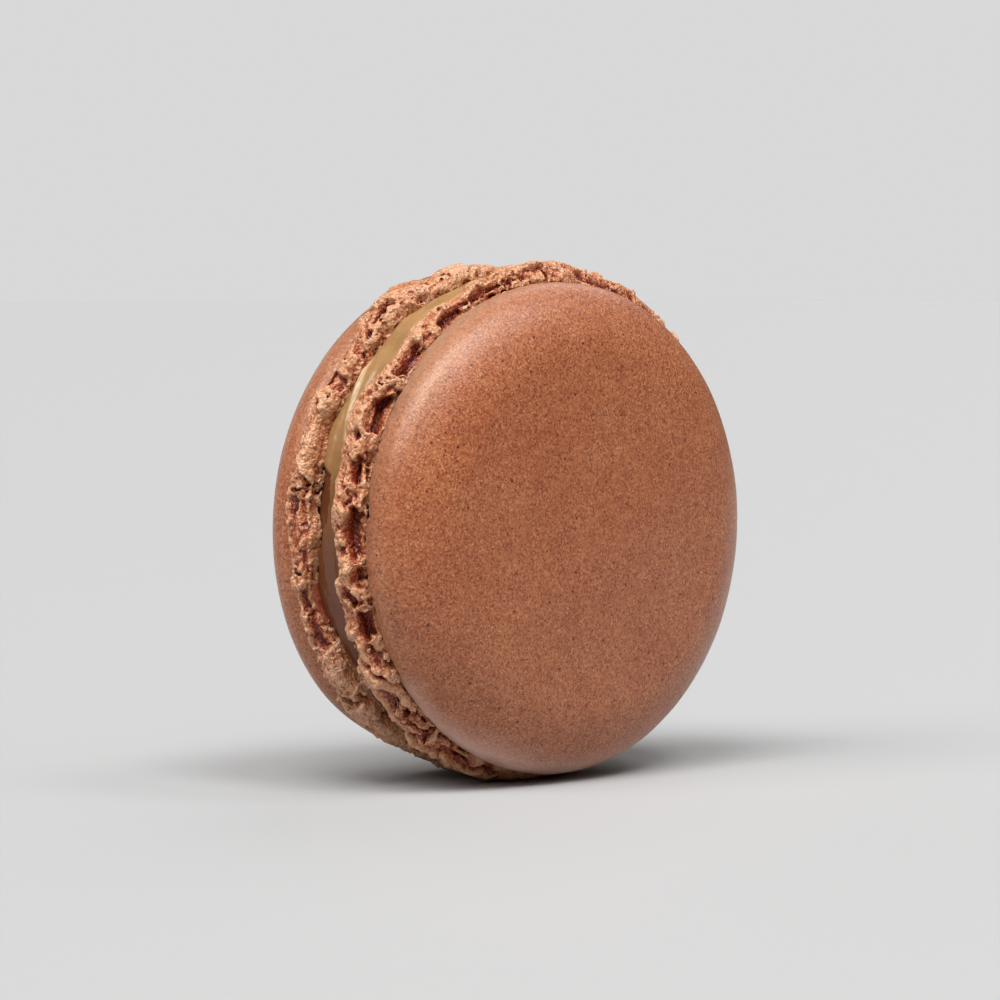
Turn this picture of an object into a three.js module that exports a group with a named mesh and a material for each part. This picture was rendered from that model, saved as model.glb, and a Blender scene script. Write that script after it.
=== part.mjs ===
// A round almond macaron that stands on its edge, in millimetres, +Z up.
// The axis of its discs runs along Y: the front shell faces -Y and the back shell +Y.
// A place on it is (angle, radius, height): the angle turns from the top (+Z) towards -X,
// the radius is measured from the axis, and the height from the middle of the filling outwards.
// The origin is the middle of the bottom, where the feet of both shells are pressed flat.
import * as THREE from 'three';

// Driving dimensions
const RIM_RADIUS = 22.5; // widest radius of the front shell's smooth skin
const AXIS_HEIGHT = 23.1; // axis above the table
const EDGE_ROUND = 2.92; // radius of the skin's rounded edge
const SHOULDER_ROUND = 9.5; // radius of the wider bend from the edge to the crown
const EDGE_END = 45; // degrees at which the edge passes into the shoulder
const CROWN_START = 84; // degrees at which the shoulder passes into the nearly flat crown
const FOOT_ROOT = 22.2; // radius from which the foot swells out
const FOOT_START = 68; // degrees round the foot's swell where it leaves the skin
const CREASE_DEPTH = 0.45; // how far the groove between skin and foot is sunk
const CREASE_DROP = 0.1; // how far the groove lies below the skin's edge
const GAP = 0.3; // clear space between the filling and each shell
const FACE_LEVEL = 1.9; // height of each shell's hidden flat face
const FACE_BLEND = 14; // radius from which the face follows the wavy line of the filling

// Fineness: corners round the feet, rows across a foot, and rings of the smooth faces
const SEGMENTS = 144;
const FOOT_BANDS = 10;
const FACE_RINGS = [[1, 0], [SEGMENTS / 16, 4], [SEGMENTS / 8, 9], [SEGMENTS / 4, 14.5], [SEGMENTS / 2, 19]];
const SKIN_BENDS = [-12, 6, 25, EDGE_END, 57, 70, CROWN_START]; // degrees round the skin's section
const CROWN_RINGS = [[SEGMENTS / 4, 0.7], [SEGMENTS / 8, 0.4], [SEGMENTS / 16, 0.16], [1, 0]];

// Front and back shell: the back one is a little larger and flatter at its lower left.
// edgeHeight is the middle of the rounded edge, skinEnd the bend at which the skin ends, crest the
// foot's outer radius, and stand the angle at which the foot is pressed smooth on the table.
// Dips and swells are [angle, width, amount].
const FRONT = {
  name: 'front_shell',
  side: 1,
  rim: RIM_RADIUS,
  edgeHeight: 5.85,
  skinEnd: -31,
  rimDips: [],
  crest: 24.1,
  crestSwells: [[-28, 20, 0.85], [34, 20, -0.5], [172, 30, -0.5], [194, 12, -0.8]],
  stand: 178,
};
const BACK = {
  name: 'back_shell',
  side: -1,
  rim: 23.55,
  edgeHeight: 5.6,
  skinEnd: -27,
  rimDips: [[156, 22, -1.2], [190, 25, -0.45]],
  crest: 24.15,
  crestSwells: [[31, 12, 0.9], [156, 20, -1.2], [186, 25, -0.4]],
  stand: 183,
};

// Line of the filling at named angles: [angle, back face, front face, radius of the filling]
const FILLING_LINE = [
  [0, -0.8, 1.4, 23.2],
  [12, -0.2, 1.5, 23.3],
  [22, 0.4, 2.1, 23.3],
  [34, -0.9, 1.9, 23.2],
  [48, -1.5, 2.4, 22.6],
  [61, -2.3, 0.9, 22.3],
  [74, -2.5, 1.4, 22.15],
  [88, -2.0, 1.25, 22.15],
  [109, -2.5, 1.7, 22.1],
  [122, -1.3, 1.7, 22.1],
  [150, -1.4, 1.5, 22.2],
  [180, -1.6, 1.3, 22.3],
  [215, -2.1, 1.7, 22.1],
  [250, -1.7, 1.9, 22.4],
  [285, -2.3, 1.5, 22.1],
  [325, -1.4, 1.8, 22.7],
];

// Edge of the filling from front to back: [how far it is set in, share of its half height]
const FILLING_EDGE = [
  [0.5, 1],
  [0.14, 0.86],
  [0, 0.5],
  [0.06, 0],
  [0, -0.5],
  [0.14, -0.86],
  [0.5, -1],
];

// Deepest hollows of the feet: [angle, height, half length, half width, depth]
const FRONT_HOLLOWS = [
  [18, 4.0, 1.9, 0.8, 0.9],
  [31, 3.9, 1.8, 0.8, 1.0],
  [47, 3.9, 2.4, 0.9, 1.1],
  [62.5, 3.6, 1.8, 0.9, 1.0],
  [75, 3.6, 1.4, 0.9, 0.9],
  [90, 3.5, 2.0, 1.0, 1.1],
  [102, 2.7, 0.8, 0.8, 0.8],
  [110, 3.8, 1.5, 1.0, 1.6],
  [128, 2.6, 1.8, 1.2, 1.0],
  [150, 3.9, 3.0, 0.9, 0.9],
];
const BACK_HOLLOWS = [
  [19, 3.7, 1.2, 0.8, 0.7],
  [34, 3.9, 2.3, 0.8, 0.9],
  [54, 3.8, 1.5, 0.8, 0.8],
  [84, 4.0, 1.2, 0.8, 0.8],
  [104, 2.9, 1.0, 0.8, 0.8],
  [112, 2.4, 1.9, 1.1, 1.6],
  [127, 4.0, 1.4, 0.8, 0.8],
];

// Smaller hollows spread by rule over both feet, and the lumps between them
const SPREAD_COUNT = 48;
const SPREAD_STEPS = [0.8191725134, 0.6710436067, 0.5497004779];
const SPREAD_LENGTH = [0.9, 1.9]; // half lengths
const SPREAD_WIDTH = 0.65; // half width as a share of the half length
const SPREAD_DEPTH = 0.5; // depth as a share of the half length
const SPREAD_MARGIN = 0.4; // how far their middles stay inside the foot's borders
const LUMP_SIZES = [3.4, 2.1];
const LUMP_SHARES = [0.6, 0.4];
const LUMP_HEIGHT = 1.2;
const PRESSED_WIDTH = 14; // degrees to each side of its stand over which a foot is pressed smooth
const LUMPS_FADE = [-90, -50]; // degrees round the foot over which the lumps set in
const HOLLOWS_FADE = [-88, -60]; // and the hollows
const RELIEF_LEAN = 0.6; // how much of the foot's bend the relief's direction follows
const SKIN_EDGE_WAVE = 0.22; // waviness of the skin's lower edge, up and down
const SKIN_EDGE_PITCH = 2; // size of its waves

// Colours
const SHELL_FINISH = { color: 0x9b5d43, roughness: 0.55, metalness: 0 };
const FILLING_FINISH = { color: 0xaf8c55, roughness: 0.35, metalness: 0 };

const radians = THREE.MathUtils.degToRad;
const mix = THREE.MathUtils.lerp;
const smooth = THREE.MathUtils.smoothstep;
const fraction = (value) => value - Math.floor(value);

// Shortest turn from one angle to another, in degrees
function turn(from, to) {
  return THREE.MathUtils.euclideanModulo(to - from + 180, 360) - 180;
}

// Sum of soft swells [angle, width, amount] at an angle
function swells(list, angle) {
  let sum = 0;
  for (const [centre, width, amount] of list) {
    sum += amount * Math.exp(-((turn(centre, angle) / width) ** 2));
  }
  return sum;
}

// Value of one column of the filling's line at any angle, eased between the named ones
function fillingLine(column, angle) {
  const turned = THREE.MathUtils.euclideanModulo(angle, 360);
  const count = FILLING_LINE.length;
  let index = count - 1;
  while (FILLING_LINE[index][0] > turned) index -= 1;
  const here = FILLING_LINE[index];
  const next = FILLING_LINE[(index + 1) % count];
  const span = (next[0] || 360) - here[0];
  const share = (turned - here[0]) / span;
  return mix(here[column], next[column], share * share * (3 - 2 * share));
}

// Height of a shell's inner face over its own side of the middle
function faceHeight(side, angle, radius) {
  const column = side > 0 ? 2 : 1;
  const line = side * fillingLine(column, angle);
  return mix(FACE_LEVEL, line, smooth(radius, FACE_BLEND, FOOT_ROOT));
}

// Repeatable number from 0 to 1 for a corner of the lattice
function cornerValue(i, j, k) {
  return fraction(Math.sin(i * 127.1 + j * 311.7 + k * 74.7) * 43758.5453);
}

// Smooth noise from 0 to 1 in space
function noise(x, y, z) {
  const cell = [Math.floor(x), Math.floor(y), Math.floor(z)];
  const ease = [x - cell[0], y - cell[1], z - cell[2]].map((t) => t * t * (3 - 2 * t));
  let sum = 0;
  for (const i of [0, 1]) {
    for (const j of [0, 1]) {
      for (const k of [0, 1]) {
        const weight =
          (i ? ease[0] : 1 - ease[0]) * (j ? ease[1] : 1 - ease[1]) * (k ? ease[2] : 1 - ease[2]);
        sum += weight * cornerValue(cell[0] + i, cell[1] + j, cell[2] + k);
      }
    }
  }
  return sum;
}

// Place in space, with the axis at its height over the table
function place(side, angle, radius, height) {
  const turned = radians(angle);
  return [-radius * Math.sin(turned), -side * height, radius * Math.cos(turned)];
}

// Lumps of a foot at a place, above and below its smooth form
function lumps(point) {
  let sum = 0;
  LUMP_SIZES.forEach((size, index) => {
    const value = noise(...point.map((coordinate) => coordinate / size));
    sum += LUMP_SHARES[index] * (value - 0.5);
  });
  return sum * LUMP_HEIGHT;
}

// Hollows spread by rule over one foot, as [angle, height, half length, half width, depth]
function spreadHollows(shell) {
  const start = shell.side > 0 ? 1 : SPREAD_COUNT + 1;
  const hollows = [];
  for (let k = start; k < start + SPREAD_COUNT; k += 1) {
    const [around, across, size] = SPREAD_STEPS.map((step) => fraction(k * step));
    const angle = around * 360;
    const low = faceHeight(shell.side, angle, FOOT_ROOT) + SPREAD_MARGIN;
    const high = skinPoint(shell, angle, shell.skinEnd)[1] - SPREAD_MARGIN;
    const length = mix(...SPREAD_LENGTH, size);
    hollows.push([angle, mix(low, high, across), length, length * SPREAD_WIDTH, length * SPREAD_DEPTH]);
  }
  return hollows;
}

// Depth of the deepest hollow at a place on a foot
function hollowDepth(hollows, angle, height) {
  let depth = 0;
  for (const [centre, level, length, width, deep] of hollows) {
    const along = (radians(turn(centre, angle)) * RIM_RADIUS) / length;
    const across = (height - level) / width;
    const reach = 1 - along * along - across * across;
    if (reach > 0) depth = Math.max(depth, deep * smooth(reach, 0, 0.9));
  }
  return depth;
}

// Rounded edge and shoulder of the skin at an angle round its section, as [radius, height]
function skinPoint(shell, angle, bend) {
  const rim = shell.rim + swells(shell.rimDips, angle);
  const edge = radians(Math.min(bend, EDGE_END));
  let radius = rim - EDGE_ROUND + EDGE_ROUND * Math.cos(edge);
  let height = shell.edgeHeight + EDGE_ROUND * Math.sin(edge);
  if (bend > EDGE_END) {
    radius += SHOULDER_ROUND * (Math.cos(radians(bend)) - Math.cos(edge));
    height += SHOULDER_ROUND * (Math.sin(radians(bend)) - Math.sin(edge));
  }
  return [radius, height];
}

// Lower edge of the skin, a little wavy
function skinEdge(shell, angle) {
  const [radius, height] = skinPoint(shell, angle, shell.skinEnd);
  const at = place(shell.side, angle, radius, height);
  const wave = noise(...at.map((value) => value / SKIN_EDGE_PITCH));
  return [radius, height + SKIN_EDGE_WAVE * (2 * wave - 1)];
}

// Groove between the skin's edge and the foot
function creasePoint(shell, angle) {
  const [radius, height] = skinEdge(shell, angle);
  return [radius - CREASE_DEPTH, height - CREASE_DROP];
}

// Foot at a bend round its section: a half ellipse from groove to inner face, with relief
function footPoint(shell, hollows, angle, bend) {
  const [, top] = skinEdge(shell, angle);
  const face = faceHeight(shell.side, angle, FOOT_ROOT);
  const middle = (top + face) / 2;
  const half = (top - face) / 2;
  const swell = shell.crest + swells(shell.crestSwells, angle) - FOOT_ROOT;
  const turned = radians(bend);
  const smoothRadius = FOOT_ROOT + swell * Math.cos(turned);
  const smoothHeight = middle + half * Math.sin(turned);
  const at = place(shell.side, angle, smoothRadius, smoothHeight);
  const loose = 1 - swells([[shell.stand, PRESSED_WIDTH, 1]], angle);
  const raised = smooth(bend, ...LUMPS_FADE) * lumps(at);
  const sunk = smooth(bend, ...HOLLOWS_FADE) * hollowDepth(hollows, angle, smoothHeight);
  const relief = loose * (raised - sunk);
  const lean = turned * RELIEF_LEAN;
  return [smoothRadius + relief * Math.cos(lean), smoothHeight + relief * Math.sin(lean)];
}

// Rows of corners from the middle of a shell's inner face, round the foot, to its apex
function shellRows(shell) {
  const listed = shell.side > 0 ? FRONT_HOLLOWS : BACK_HOLLOWS;
  const hollows = [...listed, ...spreadHollows(shell)];
  const rows = [];
  const add = (count, point) => rows.push({ count, point });
  for (const [count, radius] of FACE_RINGS) {
    add(count, (angle) => [radius, faceHeight(shell.side, angle, radius)]);
  }
  for (let band = 0; band <= FOOT_BANDS; band += 1) {
    const bend = mix(-90, FOOT_START, band / FOOT_BANDS);
    add(SEGMENTS, (angle) => footPoint(shell, hollows, angle, bend));
  }
  add(SEGMENTS, (angle) => creasePoint(shell, angle));
  add(SEGMENTS, (angle) => skinEdge(shell, angle));
  for (const bend of SKIN_BENDS) {
    add(SEGMENTS / 2, (angle) => skinPoint(shell, angle, bend));
  }
  const [crownRadius, crownHeight] = skinPoint(shell, 0, CROWN_START);
  const slope = Math.tan(radians(90 - CROWN_START));
  const rise = (slope * crownRadius) / 2;
  for (const [count, share] of CROWN_RINGS) {
    add(count, () => [crownRadius * share, crownHeight + rise * (1 - share * share)]);
  }
  return rows;
}

// Rows of corners of the filling, from the middle of its front face to that of its back face
function fillingRows() {
  const rows = [];
  const faceAt = (side, angle, radius) => side * (faceHeight(side, angle, radius) - GAP);
  const add = (count, point) => rows.push({ count, point });
  for (const [count, radius] of FACE_RINGS) {
    add(count, (angle) => [radius, faceAt(1, angle, radius)]);
  }
  for (const [inset, share] of FILLING_EDGE) {
    add(SEGMENTS / 2, (angle) => {
      const outer = fillingLine(3, angle) - inset;
      const front = faceAt(1, angle, outer);
      const back = faceAt(-1, angle, outer);
      return [outer, mix(back, front, (1 + share) / 2)];
    });
  }
  for (const [count, radius] of FACE_RINGS.toReversed()) {
    add(count, (angle) => [radius, faceAt(-1, angle, radius)]);
  }
  return rows;
}

// Faces between two rows with as many corners each, or with twice as many in one of them
function stitch(lower, upper) {
  const faces = [];
  const at = (row, index) => row.first + (index % row.count);
  const fewer = Math.min(lower.count, upper.count);
  for (let i = 0; i < fewer; i += 1) {
    const [a, b] = [at(lower, i), at(lower, i + 1)];
    const [c, d] = [at(upper, i), at(upper, i + 1)];
    if (lower.count === upper.count) {
      faces.push([a, b, d], [a, d, c]);
    } else if (fewer === 1 && lower.count === 1) {
      for (let j = 0; j < upper.count; j += 1) faces.push([a, at(upper, j + 1), at(upper, j)]);
    } else if (fewer === 1) {
      for (let j = 0; j < lower.count; j += 1) faces.push([at(lower, j), at(lower, j + 1), c]);
    } else if (lower.count > upper.count) {
      const [e, f, g] = [at(lower, 2 * i), at(lower, 2 * i + 1), at(lower, 2 * i + 2)];
      faces.push([e, f, c], [f, d, c], [f, g, d]);
    } else {
      const [e, f, g] = [at(upper, 2 * i), at(upper, 2 * i + 1), at(upper, 2 * i + 2)];
      faces.push([a, f, e], [a, b, f], [b, g, f]);
    }
  }
  return faces;
}

// Closed skin through rows of corners; side 1 counts heights towards -Y, -1 towards +Y
function skinOf(rows, side) {
  const positions = [];
  const placed = rows.map(({ count, point }) => {
    const first = positions.length / 3;
    for (let i = 0; i < count; i += 1) {
      const angle = (360 * i) / count;
      const [radius, height] = point(angle);
      const [x, y, z] = place(side, angle, radius, height);
      positions.push(x, y, Math.max(z + AXIS_HEIGHT, 0));
    }
    return { first, count };
  });
  const indices = [];
  for (let i = 0; i + 1 < placed.length; i += 1) {
    for (const [a, b, c] of stitch(placed[i], placed[i + 1])) {
      indices.push(...(side > 0 ? [a, b, c] : [a, c, b]));
    }
  }
  const geometry = new THREE.BufferGeometry();
  geometry.setAttribute('position', new THREE.Float32BufferAttribute(positions, 3));
  geometry.setIndex(indices);
  geometry.computeVertexNormals();
  return geometry;
}

// One baked shell, its smooth skin and ruffled foot in one piece
function shellMesh(shell) {
  const mesh = new THREE.Mesh(
    skinOf(shellRows(shell), shell.side),
    new THREE.MeshStandardMaterial(SHELL_FINISH),
  );
  mesh.name = shell.name;
  return mesh;
}

// Disc of cream between the shells
function fillingMesh() {
  const rows = fillingRows().reverse();
  const mesh = new THREE.Mesh(skinOf(rows, 1), new THREE.MeshStandardMaterial(FILLING_FINISH));
  mesh.name = 'filling';
  return mesh;
}

const group = new THREE.Group();
group.add(shellMesh(FRONT), fillingMesh(), shellMesh(BACK));
const box = new THREE.Box3().setFromObject(group);
const middle = box.getCenter(new THREE.Vector3());
group.position.set(-middle.x, -middle.y, -box.min.z);

export default group;
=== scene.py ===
import itertools
import math
import bpy
import numpy as np
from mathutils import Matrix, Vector


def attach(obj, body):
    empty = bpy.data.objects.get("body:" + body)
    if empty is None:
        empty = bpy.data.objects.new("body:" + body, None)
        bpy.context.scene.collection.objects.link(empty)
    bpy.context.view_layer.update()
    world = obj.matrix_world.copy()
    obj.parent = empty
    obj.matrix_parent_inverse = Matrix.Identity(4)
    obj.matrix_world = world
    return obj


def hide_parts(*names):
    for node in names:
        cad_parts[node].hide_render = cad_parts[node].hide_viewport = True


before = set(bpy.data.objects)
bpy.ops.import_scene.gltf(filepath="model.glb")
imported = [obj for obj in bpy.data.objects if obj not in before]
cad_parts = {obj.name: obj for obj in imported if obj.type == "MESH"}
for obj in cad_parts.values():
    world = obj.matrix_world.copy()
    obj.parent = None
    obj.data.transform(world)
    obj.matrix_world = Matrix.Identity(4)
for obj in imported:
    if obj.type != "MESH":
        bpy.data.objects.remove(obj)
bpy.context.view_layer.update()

MM = 0.001

# Driving dimensions, the same as the solid model's
AXIS_HEIGHT = 23.1
EDGE_ROUND = 2.92
SHOULDER_ROUND = 9.5
EDGE_END = 45
CROWN_START = 84
FOOT_ROOT = 22.2
FACE_LEVEL = 1.9
FACE_BLEND = 14
RIM_RADIUS = 22.5
FRONT = {
    "name": "front",
    "node": "front_shell",
    "side": 1,
    "rim": RIM_RADIUS,
    "edge_height": 5.85,
    "skin_end": -31,
    "rim_dips": [],
    "edge_swells": [],
    "crest": 24.1,
    "crest_swells": [(-28, 20, 0.85), (34, 20, -0.5), (172, 30, -0.5), (194, 12, -0.8)],
    "stand": 178,
    "squareness": (4.0, 2.3),
    "ledge": 22.0,
    # strength of the pale pinkish-grey patches on the foot
    "foot_patches": 0.04,
    # strength of the painted highlight near the skin's lip
    "highlight_share": 1,
    "seed": 11,
}
BACK = {
    "name": "back",
    "node": "back_shell",
    "side": -1,
    "rim": 23.55,
    "edge_height": 5.6,
    "skin_end": -27,
    "rim_dips": [(156, 22, -1.2), (190, 25, -0.45)],
    "edge_swells": [(85, 10, 0.65)],
    "crest": 24.15,
    "crest_swells": [(31, 12, 0.9), (156, 20, -1.2), (186, 25, -0.4)],
    "stand": 183,
    "squareness": (3.5, 5.0),
    "ledge": 22.9,
    # strength of the pale pinkish-grey patches on the foot
    "foot_patches": 0.25,
    # strength of the painted highlight near the skin's lip
    "highlight_share": 0.5,
    "seed": 12,
}

# Line of the filling at named angles: angle, back face, front face, radius of the filling
FILLING_LINE = np.array([
    (0, -0.8, 1.4, 23.2),
    (12, -0.2, 1.5, 23.3),
    (22, 0.4, 2.1, 23.3),
    (34, -0.9, 1.9, 23.2),
    (48, -1.5, 2.4, 22.6),
    (61, -2.3, 0.9, 22.3),
    (74, -2.5, 1.4, 22.15),
    (88, -2.0, 1.25, 22.15),
    (109, -2.5, 1.7, 22.1),
    (122, -1.3, 1.7, 22.1),
    (150, -1.4, 1.5, 22.2),
    (180, -1.6, 1.3, 22.3),
    (215, -2.1, 1.7, 22.1),
    (250, -1.7, 1.9, 22.4),
    (285, -2.3, 1.5, 22.1),
    (325, -1.4, 1.8, 22.7),
])

# Small notches and bulges of the two feet along that line, on the front and back side: angle, width, height
FACE_SWELLS = {
    1: [(66, 3, 0.3), (81, 3.5, 0.55), (91, 2.5, 0.3), (96.5, 3.8, 1.25), (104, 3, -0.25)],
    -1: [(65, 4, -0.4), (84, 5, -0.55), (94, 3, -0.4), (104, 6, -0.7)],
}

# Deepest hollows of the feet: angle, height, half length, half width, depth
FRONT_HOLLOWS = [
    (18, 4.0, 1.9, 0.8, 0.9),
    (31, 3.9, 1.8, 0.8, 1.0),
    (47, 3.9, 2.4, 0.9, 1.1),
    (62.5, 3.6, 1.8, 0.9, 1.0),
    (75, 3.6, 1.4, 0.9, 0.9),
    (90, 3.5, 2.0, 1.0, 1.1),
    (102, 2.7, 0.8, 0.8, 0.8),
    (110, 3.8, 1.5, 1.0, 1.6),
    (128, 2.6, 1.8, 1.2, 1.0),
    (150, 3.9, 3.0, 0.9, 0.9),
]
BACK_HOLLOWS = [
    (19, 3.7, 1.2, 0.8, 0.7),
    (34, 3.9, 2.3, 0.8, 0.9),
    (54, 3.8, 1.5, 0.8, 0.8),
    (84, 4.0, 1.2, 0.8, 0.8),
    (104, 2.9, 1.0, 0.8, 0.8),
    (112, 2.4, 1.9, 1.1, 1.6),
    (127, 4.0, 1.4, 0.8, 0.8),
]
SPREAD_COUNT = 48
SPREAD_STEPS = (0.8191725134, 0.6710436067, 0.5497004779)
SPREAD_LENGTH = (0.9, 1.9)
SPREAD_WIDTH = 0.65
SPREAD_DEPTH = 0.5
SPREAD_MARGIN = 0.4
LUMP_SIZES = (3.4, 2.1)
LUMP_SHARES = (0.6, 0.4)
LUMP_HEIGHT = 1.2
PRESSED_WIDTH = 14
LUMPS_FADE = (-90, -50)
HOLLOWS_FADE = (-88, -60)
SKIN_EDGE_WAVE = 0.22
SKIN_EDGE_PITCH = 2

# Flaky plates of the feet: each ends at a line of (angle, height) and stands above what lies beyond it,
# which is the left of the line as it runs
FRONT_FLAKES = [
    [(127.0, 4.4), (129.5, 3.7), (131.7, 3.3), (134.7, 3.0), (135.0, 3.7), (134.2, 4.4)],
    [(139.0, 1.6), (142.7, 2.7), (144.2, 2.9), (143.0, 3.7), (142.0, 4.4)],
    [(118.0, 1.9), (119.6, 2.8), (119.2, 3.8)],
]
BACK_FLAKES = [
    [(125.9, 3.2), (125.3, 3.6), (122.8, 3.9), (119.5, 4.1), (117.0, 4.2)],
    [(130.2, 0.9), (131.6, 2.0), (130.6, 2.5), (128.7, 3.0), (127.6, 3.8)],
    [(143.8, 1.4), (142.8, 1.55), (140.1, 1.1), (138.2, 0.95), (136.5, 1.4), (134.3, 1.2), (131.7, 0.9)],
]
# Deep pockets, most of them beside the skin's edge: angle, height, half length, half width, depth
FRONT_POCKETS = [
    (21, 4.1, 1.3, 0.5, 1.0),
    (31, 4.1, 1.8, 0.65, 1.4),
    (47, 4.4, 2.0, 0.65, 1.4),
    (61.5, 4.35, 2.3, 0.8, 1.5),
    (67.5, 3.0, 0.5, 0.35, 0.8),
    (75.5, 3.8, 1.1, 0.65, 1.3),
    (88, 4.0, 2.2, 0.8, 1.4),
    (92.8, 2.7, 0.55, 0.45, 0.9),
    (98.5, 4.1, 0.8, 0.5, 1.0),
    (102.4, 2.5, 0.5, 0.4, 0.9),
    (104, 3.6, 0.7, 0.5, 0.9),
    (109.4, 3.9, 1.1, 0.7, 1.6),
    (137.5, 3.8, 2.4, 0.65, 0.9),
    (145, 3.4, 1.5, 0.6, 0.7),
    (151.5, 2.2, 0.9, 0.4, 0.8),
    (154.5, 3.4, 1.0, 0.45, 0.9),
]
BACK_POCKETS = [
    (25, 1.3, 0.6, 0.6, 0.8),
    (36, 2.0, 1.5, 0.5, 1.0),
    (54.6, 2.6, 0.85, 1.5, 0.8),
    (84.5, 4.1, 1.0, 0.45, 1.0),
    (111, 0.9, 0.7, 0.9, 0.9),
]
# Smooth scoop with a crisp rim in the front foot, and how far the named hollows lie nearer to the front skin
FRONT_SCOOPS = [(128.8, 2.0, 1.8, 1.65, 1.9)]
FRONT_HOLLOW_SHIFT = 0.3
# Papery wrinkles at the lower left of both feet: where, how long, how wide and how high they are
WRINKLE_SWELLS = [(133, 20, 1)]
WRINKLE_SIZE = (1.5, 0.42)
WRINKLE_HEIGHT = 0.3
WRINKLE_PUSH = 1.2
# Thin plates that overlap there like shingles: their pitch, slant and height, and the cracks between them
PLATE_PITCH = 1.05
PLATE_SLANT = 0.25
PLATE_HEIGHT = 0.4
CRACK_WIDTH = 0.17
CRACK_DEPTH = 0.85
POCKET_COUNT = 17

FLAKE_COUNT = 12
FLAKE_RISE = 0.3
FLAKE_DROP = 0.65
FLAKE_FADES = (0.9, 0.6)

# Fine crumb of the feet
COLUMNS = 1320
CELL = 0.11
FOOT_INNER = 21.2
FOOT_OUTER = 25.7
FOOT_LOW = -1.1
FOOT_HIGH = 5.5
# Crumb: size, height, and how sharp its ridges are
CRUMBS = ((1.2, 0.12, 0.1), (0.55, 0.1, 0.2), (0.3, 0.15, 0.3), (0.18, 0.2, 0.3))
PITS = ((1.0, 0.64, 0.72, 0.2), (0.5, 0.64, 0.74, 0.18), (0.28, 0.66, 0.78, 0.14))  # size, start, end, depth
BUBBLE_COUNT = 450
BUBBLE_RADII = (0.08, 0.34)
GROOVE_DEPTH = 0.45
SPREAD_SHARE = 0.33  # the spread hollows are shallower here, because fine pores are added
FOOT_TRIANGLES = 196000
LEDGE_DROP = 0.35  # crumb closes the pockets under the skin, up to this drop below its edge

# Lip of the skin over the foot, and the hidden core behind the foot
CORE_RADIUS = 20.9
CORE_ROWS = ((1, 0.0), (75, 6.0), (150, 12.0), (300, 16.0), (600, 19.0), (1200, CORE_RADIUS))
LIP_BACK = ((0.98, -1.35), (0.9, -1.2), (0.88, -1.0), (0.86, -0.8), (0.84, -0.62), (0.82, -0.45))
LIP_CRUMB = 0.07
INNER_ROWS = 22  # rows of the skin's mesh up to its visible lip
LIP_WAVES = ((0.9, 0.13), (0.35, 0.12))  # pitch and height of its fine unevenness


def eased(share):
    return share * share * (3 - 2 * share)


def smooth(values, low, high):
    """Ease from 0 at low to 1 at high."""
    return eased(np.clip((values - low) / (high - low), 0, 1))


def mix(low, high, share):
    return low + (high - low) * share


def turn(start, end):
    """Shortest turn from one angle to another, in degrees."""
    return np.mod(end - start + 180, 360) - 180


def swells(listed, angle):
    """Sum of soft swells (angle, width, amount) at each angle."""
    total = np.zeros_like(np.asarray(angle, float))
    for centre, width, amount in listed:
        total = total + amount * np.exp(-((turn(centre, angle) / width) ** 2))
    return total


def filling_line(column, angle):
    """One column of the filling's line at each angle, eased between the named ones."""
    turned = np.mod(angle, 360)
    index = np.searchsorted(FILLING_LINE[:, 0], turned, side="right") - 1
    here = FILLING_LINE[index]
    after = FILLING_LINE[(index + 1) % len(FILLING_LINE)]
    end = np.where(after[..., 0] == 0, 360, after[..., 0])
    share = (turned - here[..., 0]) / (end - here[..., 0])
    return mix(here[..., column], after[..., column], eased(share))


def face_height(side, angle, radius):
    """Height of a shell's inner face over its own side of the middle."""
    column = 2 if side > 0 else 1
    line = filling_line(column, angle) + swells(FACE_SWELLS[side], angle)
    return mix(FACE_LEVEL, side * line, smooth(radius, FACE_BLEND, FOOT_ROOT))


def corner_value(i, j, k):
    """Repeatable numbers from 0 to 1 for corners of the coarse lattice."""
    value = np.sin(i * 127.1 + j * 311.7 + k * 74.7) * 43758.5453
    return value - np.floor(value)


LATTICE_SIZE = 64
LATTICE = np.random.default_rng(7).random((LATTICE_SIZE,) * 3)


def lattice_value(i, j, k):
    """Repeatable numbers from 0 to 1 for corners of the fine lattice."""
    wrapped = [np.mod(index, LATTICE_SIZE).astype(int) for index in (i, j, k)]
    return LATTICE[wrapped[0], wrapped[1], wrapped[2]]


def cell_corners(share):
    """The eight corners of a cell, each with its weight at a place in the cell."""
    for corner in itertools.product((0, 1), repeat=3):
        weight = 1
        for step, part in zip(corner, share):
            weight = weight * (part if step else 1 - part)
        yield corner, weight


def noise(x, y, z, value_at=lattice_value):
    """Smooth noise from 0 to 1 in space."""
    cell = [np.floor(value) for value in (x, y, z)]
    share = [eased(value - floor) for value, floor in zip((x, y, z), cell)]
    total = 0
    for corner, weight in cell_corners(share):
        total = total + weight * value_at(*[floor + step for floor, step in zip(cell, corner)])
    return total


def noise_at(at, size, shift=0, value_at=lattice_value):
    """Smooth noise with features of one size at places in space. Each shift gives another noise."""
    return noise(*[(value + shift) / size for value in at], value_at)


def place(side, angle, radius, height):
    """Place in space round the axis, with the axis at zero height."""
    turned = np.radians(angle)
    return -radius * np.sin(turned), -side * height, radius * np.cos(turned)


def lumps(at):
    """The broad lumps that the solid model has too."""
    total = 0
    for size, share in zip(LUMP_SIZES, LUMP_SHARES):
        total = total + share * (noise_at(at, size, 0, corner_value) - 0.5)
    return total * LUMP_HEIGHT


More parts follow.
